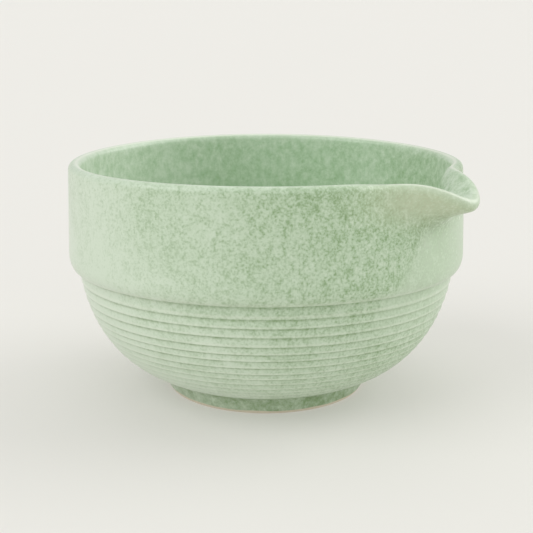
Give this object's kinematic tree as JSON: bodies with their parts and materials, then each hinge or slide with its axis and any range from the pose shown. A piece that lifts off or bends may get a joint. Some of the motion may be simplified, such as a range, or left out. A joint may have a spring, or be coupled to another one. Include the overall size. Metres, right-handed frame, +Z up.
{
  "type": "spouted bowl",
  "caption": "Round glazed stoneware bowl with a pulled pouring spout, an upright band above a belly of turned steps, and a foot ring.",
  "frame": {"origin": "centre of the foot's standing edge, on the axis of the bowl", "axes": "+Z up along the axis of the bowl, +X along the spout, +Y across it"},
  "size_m": [0.1375, 0.1258, 0.075],
  "materials": {
    "stoneware": "bare fired clay, pale buff, matt and slightly gritty",
    "green_glaze": "satin speckled sage green glaze, paler where it thins over edges and darker where it pools in the grooves"
  },
  "bodies": {
    "root": {"clay_body": "stoneware", "glaze_coat": "green_glaze", "foot_recess_glaze": "green_glaze"}
  },
  "joints": []
}
